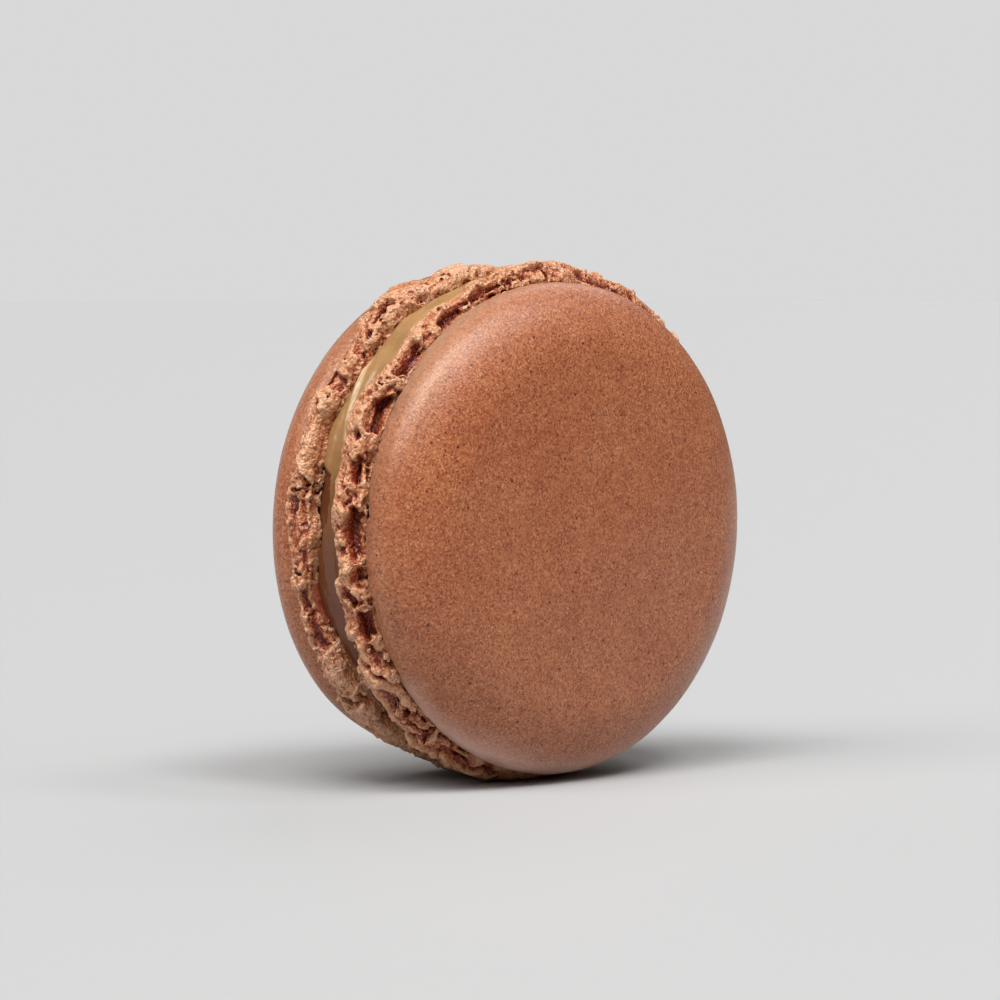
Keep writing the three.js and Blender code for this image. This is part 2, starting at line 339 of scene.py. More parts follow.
def skin_point(shell, angle, bend):
    """Radius and height of the skin's rounded edge and shoulder at a bend of its section."""
    rim = shell["rim"] + swells(shell["rim_dips"], angle)
    edge = np.radians(min(bend, EDGE_END))
    radius = rim - EDGE_ROUND + EDGE_ROUND * math.cos(edge)
    height = shell["edge_height"] + EDGE_ROUND * math.sin(edge) + 0 * radius
    if bend > EDGE_END:
        radius = radius + SHOULDER_ROUND * (math.cos(math.radians(bend)) - math.cos(edge))
        height = height + SHOULDER_ROUND * (math.sin(math.radians(bend)) - math.sin(edge))
    return radius, height


def skin_edge(shell, angle):
    """Lower edge of the skin, a little wavy."""
    radius, height = skin_point(shell, angle, shell["skin_end"])
    at = place(shell["side"], angle, radius, height)
    wave = noise_at(at, SKIN_EDGE_PITCH, 0, corner_value)
    return radius, height + SKIN_EDGE_WAVE * (2 * wave - 1) + swells(shell["edge_swells"], angle)


def spread_hollows(shell):
    """Hollows spread by rule over one foot."""
    start = 1 if shell["side"] > 0 else SPREAD_COUNT + 1
    hollows = []
    for k in range(start, start + SPREAD_COUNT):
        around, across, size = [k * step % 1 for step in SPREAD_STEPS]
        angle = around * 360
        low = float(face_height(shell["side"], angle, FOOT_ROOT)) + SPREAD_MARGIN
        high = float(skin_point(shell, angle, shell["skin_end"])[1]) - SPREAD_MARGIN
        length = mix(*SPREAD_LENGTH, size)
        hollows.append((angle, mix(low, high, across), length, length * SPREAD_WIDTH, length * SPREAD_DEPTH))
    return hollows


def hollow_depth(hollows, angle, height, edge):
    """Depth of the deepest hollow at each place of a foot."""
    depth = np.zeros(np.broadcast(angle, height).shape)
    for centre, level, length, width, deep in hollows:
        along = np.radians(turn(centre, angle)) * RIM_RADIUS / length
        across = (height - level) / width
        depth = np.maximum(depth, deep * smooth(1 - along * along - across * across, 0, edge))
    return depth


# Surface of a foot

def pockets(shell):
    """Deep pockets beside the skin's edge: the named ones, and smaller ones spread over the rest."""
    listed = list(FRONT_POCKETS if shell["side"] > 0 else BACK_POCKETS)
    random = np.random.default_rng(shell["seed"] + 80)
    for k in range(POCKET_COUNT):
        angle = (158 + 217 * (k + random.random()) / POCKET_COUNT) % 360
        length, level, deep = random.uniform(0.4, 1.3), random.uniform(-0.6, 0), random.uniform(0.5, 1.3)
        height = shell["edge_height"] - 1.7 + level
        listed.append((angle, height, length, 0.3 + 0.25 * length, deep))
    return listed


def flake_lines(shell):
    """The flaky plates' edges: the named ones, and short arcs spread by rule over the rest of the foot."""
    lines = [np.array(line, float) for line in (FRONT_FLAKES if shell["side"] > 0 else BACK_FLAKES)]
    random = np.random.default_rng(shell["seed"] + 50)
    for k in range(FLAKE_COUNT):
        angle = (150 + 300 * (k + random.random()) / FLAKE_COUNT) % 360
        face = float(face_height(shell["side"], angle, FOOT_ROOT))
        level = mix(face + 0.5, shell["edge_height"] - 2, random.random())
        reach, bow, slope = random.uniform(1.2, 2.8), random.uniform(-0.9, 0.9), random.uniform(-0.8, 0.8)
        steps = np.linspace(-1, 1, 7)
        wave = 0.25 * np.sin(steps * 5 + k)
        heights = level + slope * steps + bow * (1 - steps * steps) + wave
        lines.append(np.stack([angle + np.degrees(reach * steps / RIM_RADIUS), heights], 1))
    return lines


def flake_height(lines, angle, height):
    """Rise and drop of the flaky plates beside their edges."""
    total = np.zeros(np.broadcast(angle, height).shape)
    scale = math.radians(1) * (RIM_RADIUS + 1)
    for line in lines:
        best = np.full(total.shape, 1e9)
        signed = np.zeros(total.shape)
        across = turn(line[0, 0], angle) * scale
        for (a0, h0), (a1, h1) in zip(line, line[1:]):
            x0, x1 = (a0 - line[0, 0]) * scale, (a1 - line[0, 0]) * scale
            run, rise = x1 - x0, h1 - h0
            share = np.clip(((across - x0) * run + (height - h0) * rise) / (run * run + rise * rise), 0, 1)
            dx, dy = across - x0 - share * run, height - h0 - share * rise
            distance = np.hypot(dx, dy)
            nearer = distance < best
            best = np.where(nearer, distance, best)
            signed = np.where(nearer, np.sign(run * dy - rise * dx) * distance, signed)
        ends = np.minimum(np.hypot(across, height - line[0, 1]),
                          np.hypot(across - (line[-1, 0] - line[0, 0]) * scale, height - line[-1, 1]))
        strength = smooth(ends, 0, 0.6)
        high = FLAKE_RISE * np.exp(-np.abs(signed) / FLAKE_FADES[0])
        low = -FLAKE_DROP * np.exp(-np.abs(signed) / FLAKE_FADES[1])
        side = mix(high, low, smooth(signed, -0.07, 0.07))
        total = total + strength * side
    return total


def foot_relief(shell, angle, bend, swell, middle, half):
    """Broad relief of the foot over its smooth form, and how calm it is, on a table of angles and bends."""
    turned = np.radians(bend)
    radius = FOOT_ROOT + swell * np.cos(turned)
    height = middle + half * np.sin(turned)
    at = place(shell["side"], angle, radius, height)
    named = FRONT_HOLLOWS if shell["side"] > 0 else BACK_HOLLOWS
    warp = 0.7 * (noise_at(at, 1.1) - 0.5) + 0.35 * (noise_at(at, 0.5) - 0.5)
    raised = smooth(bend, *LUMPS_FADE) * lumps(at)
    lowered = FRONT_HOLLOW_SHIFT if shell["side"] > 0 else 0
    deep = hollow_depth(named, angle + 2 * warp, height + warp - lowered, 0.5)
    spread = spread_hollows(shell)
    shallow = SPREAD_SHARE * hollow_depth(spread, angle + 2.4 * warp, height + 1.2 * warp, 0.35)
    flakes = flake_height(flake_lines(shell), angle + warp, height + 0.5 * warp)
    pocket = hollow_depth(pockets(shell), angle + 2.6 * warp, height + warp, 0.45)
    pocket = pocket * (1 - 0.1 * smooth(bend, 52, 78))
    calm = np.clip(deep * 0.6, 0, 0.45)
    if shell["side"] > 0:
        wander = noise_at(at, 2.2, 30)
        shallow = np.maximum(shallow, GROOVE_DEPTH * smooth(bend, 12, 50) * smooth(wander, 0.25, 0.6))
        keep = 1 - 0.8 * smooth(bend, 55, 75)
        deep = deep * (1 - 0.35 * smooth(bend, 45, 70))
        scoop = hollow_depth(FRONT_SCOOPS, angle + 0.8 * warp, height + 0.4 * warp, 0.6)
        deep = np.maximum(deep, scoop)
        flakes = flakes * (1 - smooth(scoop, 0, 0.5))
        calm = np.maximum(calm, 0.7 * smooth(scoop, 0.1, 0.6))
        rim = 0.35 * np.exp(-(((bend + 62) / 22) ** 2)) * swells([(129, 17, 1)], angle)
        fade = smooth(bend, -62, -25)
    else:
        keep = 1 - smooth(bend, 40, 62)
        rim = 0
        fade = smooth(bend, *HOLLOWS_FADE)
        deep = deep * (1 - 0.6 * smooth(bend, 50, 75))
    sunk = fade * np.maximum(np.maximum(deep, pocket), shallow * keep)
    return raised * keep + rim - sunk + fade * flakes * keep, calm


def foot_field(shell):
    """Signed distance to the foot's surface on a grid that runs round it: below zero is inside.

    Gives the field, how deep each place lies, and how rough it is, all (columns, radii, heights)."""
    angle = (np.arange(COLUMNS) * 360 / COLUMNS)[:, None]
    radii = np.arange(FOOT_INNER, FOOT_OUTER, CELL)
    heights = np.arange(FOOT_LOW, FOOT_HIGH, CELL)
    swell = shell["crest"] + swells(shell["crest_swells"], angle) - FOOT_ROOT
    top = skin_edge(shell, angle)[1]
    face = face_height(shell["side"], angle, FOOT_ROOT)
    middle, half = (top + face) / 2, (top - face) / 2
    bends = np.linspace(-90, 90, 121)[None, :]
    table, calm = foot_relief(shell, angle, bends, swell, middle, half)
    loose = 1 - swells([(shell["stand"], PRESSED_WIDTH, 1)], angle)
    table = table * loose
    out = np.maximum(radii[None, :, None] - FOOT_ROOT, 0)
    up = heights[None, None, :] - middle[:, :, None]
    a = out / swell[:, :, None]
    b = up / half[:, :, None]
    bend = np.degrees(np.arctan2(b, a))
    power = np.where(b < 0, *shell["squareness"])
    q = (np.abs(a) ** power + np.abs(b) ** power) ** (1 / power)
    length = np.hypot(out, up)
    base = length - length / np.maximum(q, 1e-6)
    base = np.maximum(base, FOOT_INNER + 2 * CELL - radii[None, :, None])
    column = np.clip((bend + 90) / 1.5, 0, 119.999)
    first = column.astype(int)
    rows = np.arange(COLUMNS)[:, None, None]
    relief = mix(table[rows, first], table[rows, first + 1], column - first)
    beside = radii[None, :, None] - shell["ledge"]
    under = heights[None, None, :] - top[:, :, None] + LEDGE_DROP
    ledge = np.maximum(np.maximum(beside, under), base)
    opened = base - relief
    field = np.minimum(opened, ledge)
    rough = loose[:, :, None] * (1 - calm[rows, first])
    return field, np.clip(opened, 0, 0.62) - base, np.clip(0.2 + 0.8 * rough, 0, 1), radii, heights


def add_crumb(shell, field, rough, radii, heights):
    """Fine ridges of the crumb, sharp at their crests, on the surface and inside its pores."""
    index = np.nonzero(np.abs(field) < 0.7)
    at = place(shell["side"], index[0] * 360 / COLUMNS, radii[index[1]], heights[index[2]])
    at = [axis + 40 for axis in at]
    push = [noise_at(at, 0.9, 13 * k) - 0.5 for k in (1, 2, 3)]
    at = [axis + 0.5 * moved for axis, moved in zip(at, push)]
    patch = noise_at(at, 2.6)
    fine = 0
    for size, amount, sharpness in CRUMBS:
        value = noise_at(at, size)
        ridge = 1 - np.abs(2 * value - 1)
        fine = fine + amount * (mix(value, ridge * ridge, sharpness) - 0.48)
    for size, start, end, depth in PITS:
        fine = fine - depth * smooth(noise_at(at, size, 70), start, end)
    angle, level = index[0] * 360 / COLUMNS, heights[index[2]]
    along = np.radians(angle) * RIM_RADIUS + WRINKLE_PUSH * push[0]
    across = level + WRINKLE_PUSH * push[1]
    folds = noise(along / WRINKLE_SIZE[0] + 50, (across + 0.25 * along) / WRINKLE_SIZE[1] + 50, at[1] / 3)
    folds = WRINKLE_HEIGHT * ((1 - np.abs(2 * folds - 1)) ** 2 - 0.35) * swells(WRINKLE_SWELLS, angle)
    fine = fine * (1 - 0.4 * swells(WRINKLE_SWELLS, angle))
    plates = swells(WRINKLE_SWELLS, angle) * overlapping_plates(along, at)
    field[index] -= rough[index] * (fine * (0.5 + 0.7 * smooth(patch, 0.3, 0.6)) + folds + plates)
    return field


def overlapping_plates(along, at):
    """Height of thin plates that rise slowly towards the back and end there in a crack."""
    wander = noise(along / 2.6 + 50, at[1] / 1.8, at[2] / 3)
    phase = (at[1] + PLATE_SLANT * along) / PLATE_PITCH + 1.7 * wander
    share = phase - np.floor(phase)
    strength = smooth(noise_at(at, 1.9, 90), 0.2, 0.5)
    crack = CRACK_DEPTH * np.exp(-((np.minimum(share, 1 - share) * PLATE_PITCH / CRACK_WIDTH) ** 2))
    return strength * (PLATE_HEIGHT * (share - 0.4) - crack)


def carve_bubbles(shell, field, rough, radii, heights):
    """Pores of many sizes, cut into the foot's surface in loose clusters."""
    random = np.random.default_rng(shell["seed"])
    low, high = BUBBLE_RADII
    angles = random.uniform(0, 360, BUBBLE_COUNT)
    sizes = low + (high - low) * random.random(BUBBLE_COUNT) ** 3.5
    levels = random.uniform(0, 1, BUBBLE_COUNT)
    sinks = random.uniform(-0.7, 0.3, BUBBLE_COUNT)
    stretches = random.uniform(0.6, 1.9, BUBBLE_COUNT)
    chances = random.random(BUBBLE_COUNT)
    for angle, size, level, sink, stretch, chance in zip(angles, sizes, levels, sinks, stretches, chances):
        if abs(turn(shell["stand"], angle)) < PRESSED_WIDTH * 0.5:
            continue
        column = int(angle * COLUMNS / 360)
        top = float(skin_edge(shell, angle)[1])
        face = float(face_height(shell["side"], angle, FOOT_ROOT))
        height = mix(face - 0.1, top + 0.1, level)
        cluster = noise(np.array(angle / 7.0), np.array(height / 1.6), np.array(shell["seed"] * 3.0))
        if chance > 0.25 + 1.1 * smooth(cluster, 0.35, 0.7):
            continue
        k = int(np.clip((height - heights[0]) / CELL, 0, len(heights) - 1))
        line = field[column, :, k]
        solid = np.nonzero(line < 0)[0]
        if len(solid) == 0:
            continue
        if rough[column, solid[-1], k] < 0.6:
            continue
        surface = radii[solid[-1]]
        centre = surface - size * sink
        reach = int(math.ceil(size * stretch / CELL)) + 2
        columns = np.arange(column - reach, column + reach + 1)
        j0 = max(int((centre - size - radii[0]) / CELL) - 1, 3)
        j1 = min(int((centre + size - radii[0]) / CELL) + 3, len(radii))
        k0 = max(int((height - size - heights[0]) / CELL) - 1, 0)
        k1 = min(int((height + size - heights[0]) / CELL) + 3, len(heights))
        if j1 <= j0 or k1 <= k0:
            continue
        along = np.radians(turn(angle, columns * 360 / COLUMNS)) * surface / stretch
        out = radii[j0:j1] - centre
        up = heights[k0:k1] - height
        distance = np.sqrt(along[:, None, None] ** 2 + out[None, :, None] ** 2 + up[None, None, :] ** 2)
        wrapped = np.mod(columns, COLUMNS)
        block = field[wrapped, j0:j1, k0:k1]
        field[wrapped, j0:j1, k0:k1] = np.maximum(block, size - distance)
    return field


def surface_nets(field):
    """Points (in grid steps) and quads of the surface where the field is zero. Axis 0 closes on itself."""
    n0, n1, n2 = field.shape
    inside = field < 0

    def corner(array, a, b, c):
        return np.roll(array, -a, axis=0)[:, b:n1 - 1 + b, c:n2 - 1 + c]

    total = np.zeros((n0, n1 - 1, n2 - 1, 3), np.float32)
    count = np.zeros((n0, n1 - 1, n2 - 1), np.float32)
    for axis in range(3):
        others = [other for other in range(3) if other != axis]
        for p in (0, 1):
            for q in (0, 1):
                start = [0, 0, 0]
                start[others[0]], start[others[1]] = p, q
                end = list(start)
                end[axis] = 1
                v0, v1 = corner(field, *start), corner(field, *end)
                crossed = (v0 < 0) != (v1 < 0)
                share = np.where(crossed, v0 / np.where(crossed, v0 - v1, 1), 0)
                count += crossed
                total[..., axis] += share
                total[..., others[0]] += p * crossed
                total[..., others[1]] += q * crossed
    used = count > 0
    number = np.full(used.shape, -1)
    number[used] = np.arange(used.sum())
    index = np.stack(np.nonzero(used), axis=1)
    points = index + total[used] / count[used][:, None]
    return points, np.concatenate([crossing_quads(inside, number, axis) for axis in range(3)])


def crossing_quads(inside, number, axis):
    """Quads round the grid's edges along one axis that cross the surface, facing outwards."""
    crossed = inside != np.roll(inside, -1, axis=axis)
    for side in (1, 2):
        border = [slice(None)] * 3
        border[side] = [-1] if side == axis else [0, -1]
        crossed[tuple(border)] = False
    spot = np.array(np.nonzero(crossed))
    ring = []
    for p, q in ((1, 1), (0, 1), (0, 0), (1, 0)):
        cell = spot.copy()
        cell[(axis + 1) % 3] -= p
        cell[(axis + 2) % 3] -= q
        ring.append(number[tuple(cell)])
    ring = np.stack(ring, axis=1)
    return np.where(inside[tuple(spot)][:, None], ring, ring[:, ::-1])


def without_scraps(points, faces):
    """The largest part of the mesh, without the small scraps that hang loose in its pores."""
    part = np.arange(len(points))
    while True:
        joined = part.copy()
        np.minimum.at(joined, faces.ravel(), np.repeat(part[faces].min(axis=1), faces.shape[1]))
        joined = joined[joined]
        if np.array_equal(joined, part):
            break
        part = joined
    kept = part == np.bincount(part).argmax()
    number = np.cumsum(kept) - 1
    return points[kept], number[faces[kept[faces[:, 0]]]]


def blurred(array, steps):
    """Mean of the array over a box of steps to each side, twice over, closing on itself round axis 0."""
    result = array.astype(np.float32)
    for axis in (0, 1, 2) * 2:
        pad = [(0, 0)] * 3
        pad[axis] = (steps, steps)
        wide = np.moveaxis(np.pad(result, pad, mode="edge" if axis else "wrap"), axis, 0)
        total = sum(wide[start:start + result.shape[axis]] for start in range(2 * steps + 1))
        result = np.moveaxis(total, 0, axis) / (2 * steps + 1)
    return result


def sampled(array, points):
    """Values of the grid array at points in grid steps."""
    first = np.floor(points).astype(int)
    total = 0
    for corner, weight in cell_corners((points - first).T):
        i, j, k = (first + corner).T
        j, k = np.minimum(j, array.shape[1] - 1), np.minimum(k, array.shape[2] - 1)
        total = total + weight * array[i % array.shape[0], j, k]
    return total


# Meshes

def axis_shift():
    """How far the solid model's axis lies from the origin in X, and its middle in Y."""
    lowest = min(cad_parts["front_shell"].data.vertices, key=lambda vertex: vertex.co.y).co
    return lowest.x / MM, lowest.y / MM + crown_point(FRONT, 0)[1]


def crown_point(shell, share):
    """Radius and height of the nearly flat crown, from its middle (0) to the shoulder (1)."""
    radius, height = skin_point(shell, np.array(0.0), CROWN_START)
    rise = math.tan(math.radians(90 - CROWN_START)) * float(radius) / 2
    return float(radius) * share, float(height) + rise * (1 - share * share)


def placed(side, angle, radius, height):
    """Points in metres, in the frame, resting on the table."""
    x, y, z = place(side, angle, radius, height)
    x, y, z = np.broadcast_arrays(x, y, z)
    z = np.maximum(z + AXIS_HEIGHT, 0)
    return np.stack([x + SHIFT[0], y + SHIFT[1], z], axis=-1) * MM


def make_object(name, points, faces, attributes):
    """Mesh object from points and triangles, turned so that its faces point outwards."""
    a, b, c = [points[faces[:, index]] for index in range(3)]
    if np.einsum("ij,ij->i", a, np.cross(b, c)).sum() < 0:
        faces = faces[:, ::-1]
    mesh = bpy.data.meshes.new(name)
    mesh.from_pydata(points.tolist(), [], faces.tolist())
    mesh.shade_smooth()
    for key, values in attributes.items():
        attribute = mesh.attributes.new(key, "FLOAT", "POINT")
        attribute.data.foreach_set("value", np.asarray(values, np.float32))
    piece = bpy.data.objects.new(name, mesh)
    bpy.context.scene.collection.objects.link(piece)
    return piece


def grid_rows(rows):
    """Triangles between rows of corners (first index, count), each as long as the next or twice or half."""
    faces = []
    for (low, low_count), (high, high_count) in zip(rows, rows[1:]):
        i = np.arange(min(low_count, high_count))
        if low_count == high_count:
            a, b = low + i, low + (i + 1) % low_count
            c, d = high + i, high + (i + 1) % high_count
            faces += [np.stack([a, b, d], 1), np.stack([a, d, c], 1)]
        elif high_count == 1:
            i = np.arange(low_count)
            faces.append(np.stack([low + i, low + (i + 1) % low_count, high + 0 * i], 1))
        elif low_count == 1:
            i = np.arange(high_count)
            faces.append(np.stack([low + 0 * i, high + (i + 1) % high_count, high + i], 1))
        elif low_count > high_count:
            e, f, g = low + 2 * i, low + 2 * i + 1, low + (2 * i + 2) % low_count
            c, d = high + i, high + (i + 1) % high_count
            faces += [np.stack([e, f, c], 1), np.stack([f, d, c], 1), np.stack([f, g, d], 1)]
        else:
            e, f, g = high + 2 * i, high + 2 * i + 1, high + (2 * i + 2) % high_count
            a, b = low + i, low + (i + 1) % low_count
            faces += [np.stack([a, f, e], 1), np.stack([a, b, f], 1), np.stack([b, g, f], 1)]
    return np.concatenate(faces)


def skin_rows(shell):
    """Rows (count, function of angle giving radius and height) from the inner face to the apex."""
    rows = []
    side = shell["side"]

    def face_row(radius):
        return lambda angle: (radius + 0 * angle, face_height(side, angle, radius) + 0.1)

    def edge_row(inward, down, rough=0.0, raised=0.0):
        def at(angle):
            radius, height = fine_edge(shell, angle)
            spot = place(side, angle, radius - inward, height + down)
            crumb = noise_at(spot, 0.3, 50) - 0.5
            return radius - inward + rough * crumb, height + down + raised * crumb
        return at

    for count, radius in CORE_ROWS:
        rows.append((count, face_row(radius)))
    rows.append((1200, lambda angle: (CORE_RADIUS + 0 * angle, fine_edge(shell, angle)[1] - 1.4)))
    for inward, down in LIP_BACK:
        rows.append((1200, edge_row(inward, down, 0.35)))
    for inward, down in ((0.8, -0.3), (0.78, -0.17), (0.74, -0.08)):
        rows.append((1200, edge_row(inward, down, 0.2)))
    for step in (0.62, 0.5, 0.38, 0.27, 0.17, 0.08):
        rows.append((1200, edge_row(step, 0.02 * step, 0.1, 0.5 * min(step, 0.3))))
    for bend in np.arange(shell["skin_end"], -4, 2.4):
        rows.append((1200, lip_row(shell, float(bend))))
    for bend in np.arange(-3, CROWN_START, 2.5):
        rows.append((600, lambda angle, bend=float(bend): skin_point(shell, angle, bend)))
    for share in (1, 0.96, 0.92, 0.88, 0.84, 0.8, 0.76, 0.72, 0.68, 0.64, 0.6):
        rows.append((300, crown_row(shell, share)))
    for share in (0.54, 0.48, 0.42, 0.36, 0.3):
        rows.append((150, crown_row(shell, share)))
    for share in (0.22, 0.14, 0.07):
        rows.append((75, crown_row(shell, share)))
    rows.append((1, crown_row(shell, 0)))
    return rows


def crown_row(shell, share):
    radius, height = crown_point(shell, share)
    return lambda angle: (radius + share ** 3 * swells(shell["rim_dips"], angle), height + 0 * angle)


def fine_edge(shell, angle):
    """The skin's lower edge with its fine unevenness."""
    radius, height = skin_edge(shell, angle)
    at = place(shell["side"], angle, radius, height)
    for pitch, amount in LIP_WAVES:
        height = height + amount * (2 * noise_at(at, pitch, 60) - 1)
    return radius, height


def lip_row(shell, bend):
    """Row of the skin near its edge: it follows the uneven edge less and less."""
    share = (bend - shell["skin_end"]) / (-4 - shell["skin_end"])

    def at(angle):
        radius, height = skin_point(shell, angle, bend)
        moved = fine_edge(shell, angle)[1] - skin_point(shell, angle, shell["skin_end"])[1]
        spot = place(shell["side"], angle, radius, height)
        crumb = LIP_CRUMB * (2 * noise_at(spot, 0.3, 20) - 1)
        fade = 1 - smooth(np.array(share), 0, 1)
        return radius + crumb * fade, height + moved * fade
    return at


WAVE_CENTRE = 2  # how far below the edge's height the centre of the skin's waves lies
SKIN_WAVES = ((7.0, 0.1), (3.1, 0.05), (0.8, 0.012))
# Painted highlight: the skin is painted paler near its edge, a little all round and most of all at the upper
# left where the key light falls, and less and less between two heights
HIGHLIGHT_LEAST = 0.11
HIGHLIGHT_SWELLS = [(36, 31, 0.55)]
HIGHLIGHT_FADE = (-1.3, 3.6)
# Painted reflection of the floor: a pale, mottled strip of the front skin beside its lower edge: where it
# starts and ends, and how it fades inwards
REFLECTION_START = (121, 128)
FOOT_PATCHES_START = (108, 122)
REFLECTION_MORE = (128, 156)
PATCHES_AND_REFLECTION_END = (195, 235)
REFLECTION_FADE = (0.1, 3.2)
REFLECTION_WIDER = 1.5


def reflection_share(shell, angle):
    """How much painted reflection the skin has at each angle."""
    share = smooth(angle, *REFLECTION_START) * (1 - smooth(angle, *PATCHES_AND_REFLECTION_END))
    return share * mix(0.34, 0.6, smooth(angle, *REFLECTION_MORE)) * (shell["side"] > 0)


def build_skin(shell):
    """Smooth domed skin with its ragged lip, and the hidden core inside the foot."""
    points, counts = [], []
    for count, row in skin_rows(shell):
        angle = np.arange(count) * 360 / count
        radius, height = row(angle)
        points.append(np.stack([angle, radius + 0 * angle, height + 0 * angle], 1))
        counts.append(count)
    firsts = np.concatenate([[0], np.cumsum(counts)[:-1]])
    grid = np.concatenate(points)
    x, y, z = place(shell["side"], grid[:, 0], grid[:, 1], grid[:, 2])
    outer = firsts[INNER_ROWS]
    wave = 0
    for size, amount in SKIN_WAVES:
        wave = wave + amount * (noise_at((x, y, z), size, 90) - 0.5)
    wave[:outer] = 0
    middle = shell["edge_height"] - WAVE_CENTRE
    away = np.hypot(grid[:, 1], grid[:, 2] - middle)
    radius = grid[:, 1] + wave * grid[:, 1] / away
    height = grid[:, 2] + wave * (grid[:, 2] - middle) / away
    at = placed(shell["side"], grid[:, 0], radius, height)
    # The lip's underside and the hidden core: painted darker red-brown in the material, painted shade under
    # the lip
    under = np.zeros(len(at))
    under[:outer] = 1
    above = grid[:, 2] - shell["edge_height"]
    mottle = 0.6 + 0.8 * noise_at((x, y, z), 1.3, 30)
    # Painted highlight near the lip: a little all round, strongest at the upper left where the key light
    # falls
    painted_highlight = (HIGHLIGHT_LEAST + swells(HIGHLIGHT_SWELLS, grid[:, 0])) * (1 - smooth(above, *HIGHLIGHT_FADE))
    painted_highlight = painted_highlight * shell["highlight_share"]
    # Painted reflection of the floor: a pale, mottled strip beside the front skin's lower edge
    wider = REFLECTION_WIDER * smooth(grid[:, 0], *REFLECTION_MORE)
    pale_patches_and_reflection = mottle * (1 - smooth(above + mottle - wider, *REFLECTION_FADE)) * reflection_share(shell, grid[:, 0])
    faces = rows_faces(firsts, counts)
    return make_object(shell["name"] + "_skin", at, faces, {"under": under, "painted_highlight": painted_highlight, "pale_patches_and_reflection": pale_patches_and_reflection})


def simplified(points, faces, target):
    """The mesh with its flattest edges collapsed down to the target count of triangles."""
    mesh = bpy.data.meshes.new("rough")
    mesh.from_pydata(points.tolist(), [], faces.tolist())
    rough = bpy.data.objects.new("rough", mesh)
    bpy.context.scene.collection.objects.link(rough)
    modifier = rough.modifiers.new("fewer", "DECIMATE")
    modifier.ratio = min(target / len(faces), 1)
    done = rough.evaluated_get(bpy.context.evaluated_depsgraph_get()).to_mesh()
    corners = np.empty(len(done.vertices) * 3)
    done.vertices.foreach_get("co", corners)
    done.calc_loop_triangles()
    kept = np.empty(len(done.loop_triangles) * 3, int)
    done.loop_triangles.foreach_get("vertices", kept)
    bpy.data.objects.remove(rough)
    bpy.data.meshes.remove(mesh)
    return corners.reshape(-1, 3), kept.reshape(-1, 3)


def build_foot(shell):
    """Spongy foot of one shell."""
    field, depth, rough, radii, heights = foot_field(shell)
    field = carve_bubbles(shell, field, rough, radii, heights)
    field = add_crumb(shell, field, rough, radii, heights)
    points, quads = without_scraps(*surface_nets(field))
    angle = points[:, 0] * 360 / COLUMNS
    x, y, z = place(shell["side"], angle, radii[0] + points[:, 1] * CELL, heights[0] + points[:, 2] * CELL)
    triangles = np.concatenate([quads[:, [0, 1, 2]], quads[:, [0, 2, 3]]])
    points, triangles = simplified(np.stack([x, y, z], 1), triangles, FOOT_TRIANGLES)
    angle = np.mod(np.degrees(np.arctan2(-points[:, 0], points[:, 2])), 360)
    radius = np.hypot(points[:, 0], points[:, 2])
    height = -shell["side"] * points[:, 1]
    steps = np.stack([angle * COLUMNS / 360, (radius - radii[0]) / CELL, (height - heights[0]) / CELL], 1)
    # How enclosed each point is, at two scales, and how deep it lies; the material paints shade in the
    # hollows from these
    solid = (field < 0)
    close = sampled(blurred(solid, 2), steps)
    wide = sampled(blurred(solid, 5), steps)
    depth = sampled(depth, steps)
    at = placed(shell["side"], angle, radius, height)
    # Pale pinkish-grey patches over the lower left of the foot
    pale_patches_and_reflection = smooth(angle, *FOOT_PATCHES_START) * (1 - smooth(angle, *PATCHES_AND_REFLECTION_END)) * shell["foot_patches"]
    pale_patches_and_reflection = pale_patches_and_reflection * smooth(noise_at(points.T, 0.55, 40), 0.3, 0.65)
    marks = {"close": close, "wide": wide, "depth": depth, "pale_patches_and_reflection": pale_patches_and_reflection}
    return make_object(shell["name"] + "_foot", at, triangles, marks)


FILLING_COLUMNS = 900
# Corners in each hidden row of its two faces, and their radius
FILLING_ROWS = ((1, 0.0), (225, 10.0), (450, 17.0))
FILLING_EDGE = ((0.5, 1), (0.14, 0.86), (0, 0.5), (0.06, 0), (0, -0.5), (0.14, -0.86), (0.5, -1))
FILLING_STEPS = 44
FILLING_REACH = 0.15

# Details of the cream: the crisp edge of its recessed strip beside the back shell (angles, heights), how
# much painted shade it has by angle, the line of its raised streak with a painted highlight along it, and
# small beads (angle, height, radius)
RECESS_EDGE = ((73.5, 76, 82, 86.5, 89, 93.5), (-2.7, -1.12, -0.95, -1.1, -1.4, -2.1))
RECESS_DEPTH = 0.4
SHADE_SHARES = ((64, 75, 84, 94, 110, 125, 150), (0, 0.45, 0.7, 0.9, 1, 1, 0))
STREAK_LINE = ((43, 46.4, 53.5, 60.5, 65, 70, 74), (-1.7, -1.6, -1.25, -0.8, -0.4, 0.25, 0.5))
STREAK_RISE = 0.22
STREAK_HIGHLIGHT = 0.55
BEADS = [(76.7, -1.0, 0.13), (79.7, -0.75, 0.11), (91.4, -0.25, 0.12), (91.1, 0.05, 0.1), (94.4, -0.3, 0.16)]


